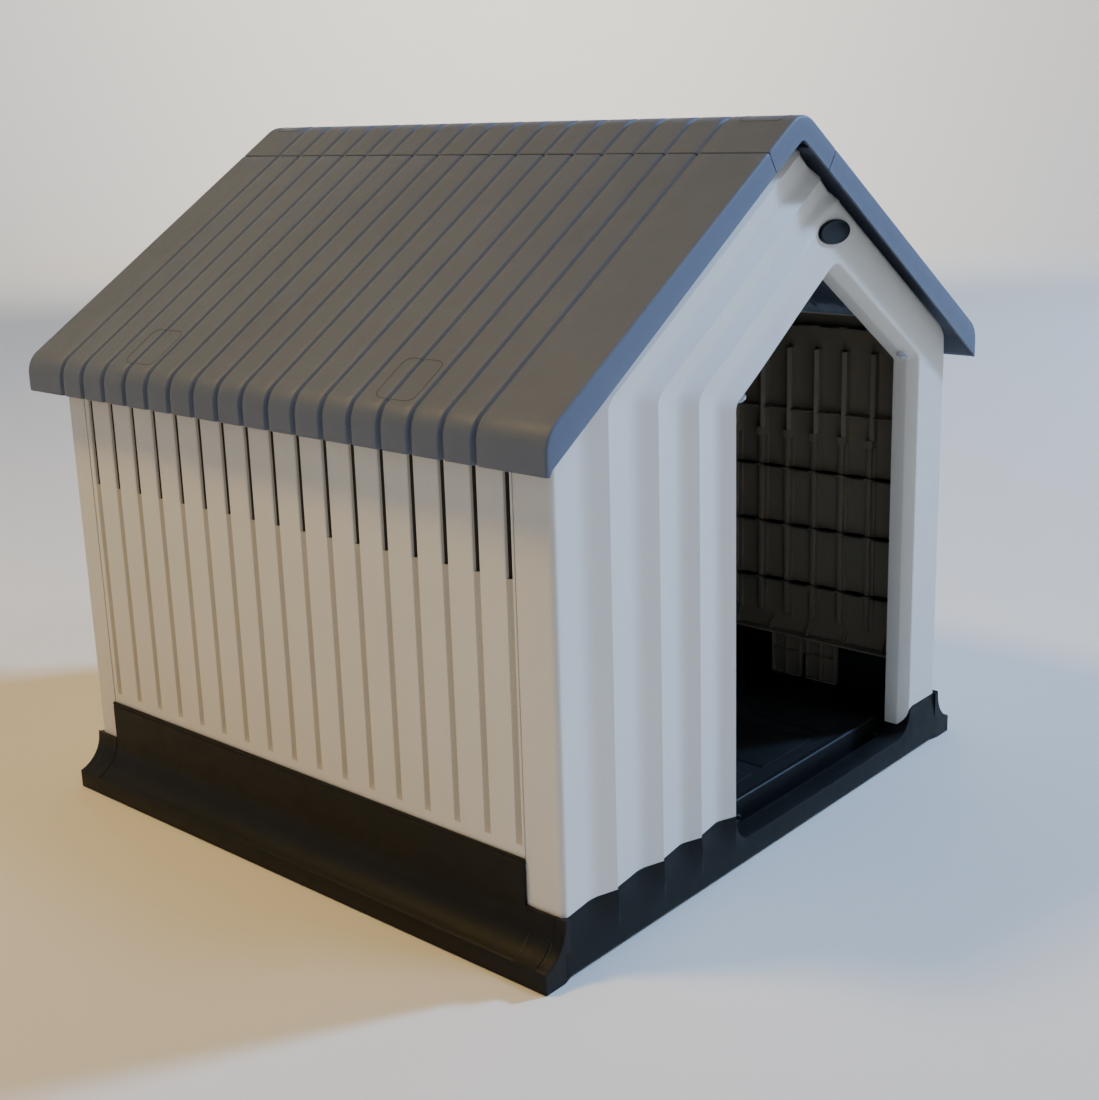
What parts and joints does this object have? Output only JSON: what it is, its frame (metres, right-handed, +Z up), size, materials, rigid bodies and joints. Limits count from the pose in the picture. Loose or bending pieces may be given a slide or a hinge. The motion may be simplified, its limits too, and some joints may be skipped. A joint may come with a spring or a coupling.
{
  "type": "moulded plastic kennel",
  "caption": "Snap-together gabled plastic animal kennel: black tray with flared skirts, ribbed vented side walls, stepped gable front with offset doorway, lift-off grooved roof and ridge cap.",
  "frame": {"origin": "centre of the footprint at ground level, on the underside of the tray's foot rails", "axes": "+Z up; +Y along the ridge from the doorway to the back; +X to the right as seen from the doorway"},
  "size_m": [0.971, 0.9854, 0.9598],
  "materials": {
    "tray_black": "matte, fine grain",
    "wall_offwhite": "satin, fine grain",
    "roof_grey": "satin, fine grain",
    "badge_black": "gloss",
    "stud_clear": "gloss",
    "pin_grey": "satin"
  },
  "bodies": {
    "house": {"base_tray": "tray_black", "front_wall": "wall_offwhite", "back_wall": "wall_offwhite", "left_side_wall": "wall_offwhite", "right_side_wall": "wall_offwhite", "front_badge": "badge_black", "doorway_studs": "stud_clear", "sill_push_pins": "pin_grey"},
    "roof": {"left_roof_panel": "roof_grey", "right_roof_panel": "roof_grey"},
    "cap": {"ridge_cap": "roof_grey"}
  },
  "joints": [
    {"name": "roof_lift", "type": "slide", "parent": "house", "child": "roof", "axis": [0, 0, 1], "range_m": [0, 0.35]},
    {"name": "cap_lift", "type": "slide", "parent": "roof", "child": "cap", "axis": [0, 0, 1], "range_m": [0, 0.15]}
  ]
}
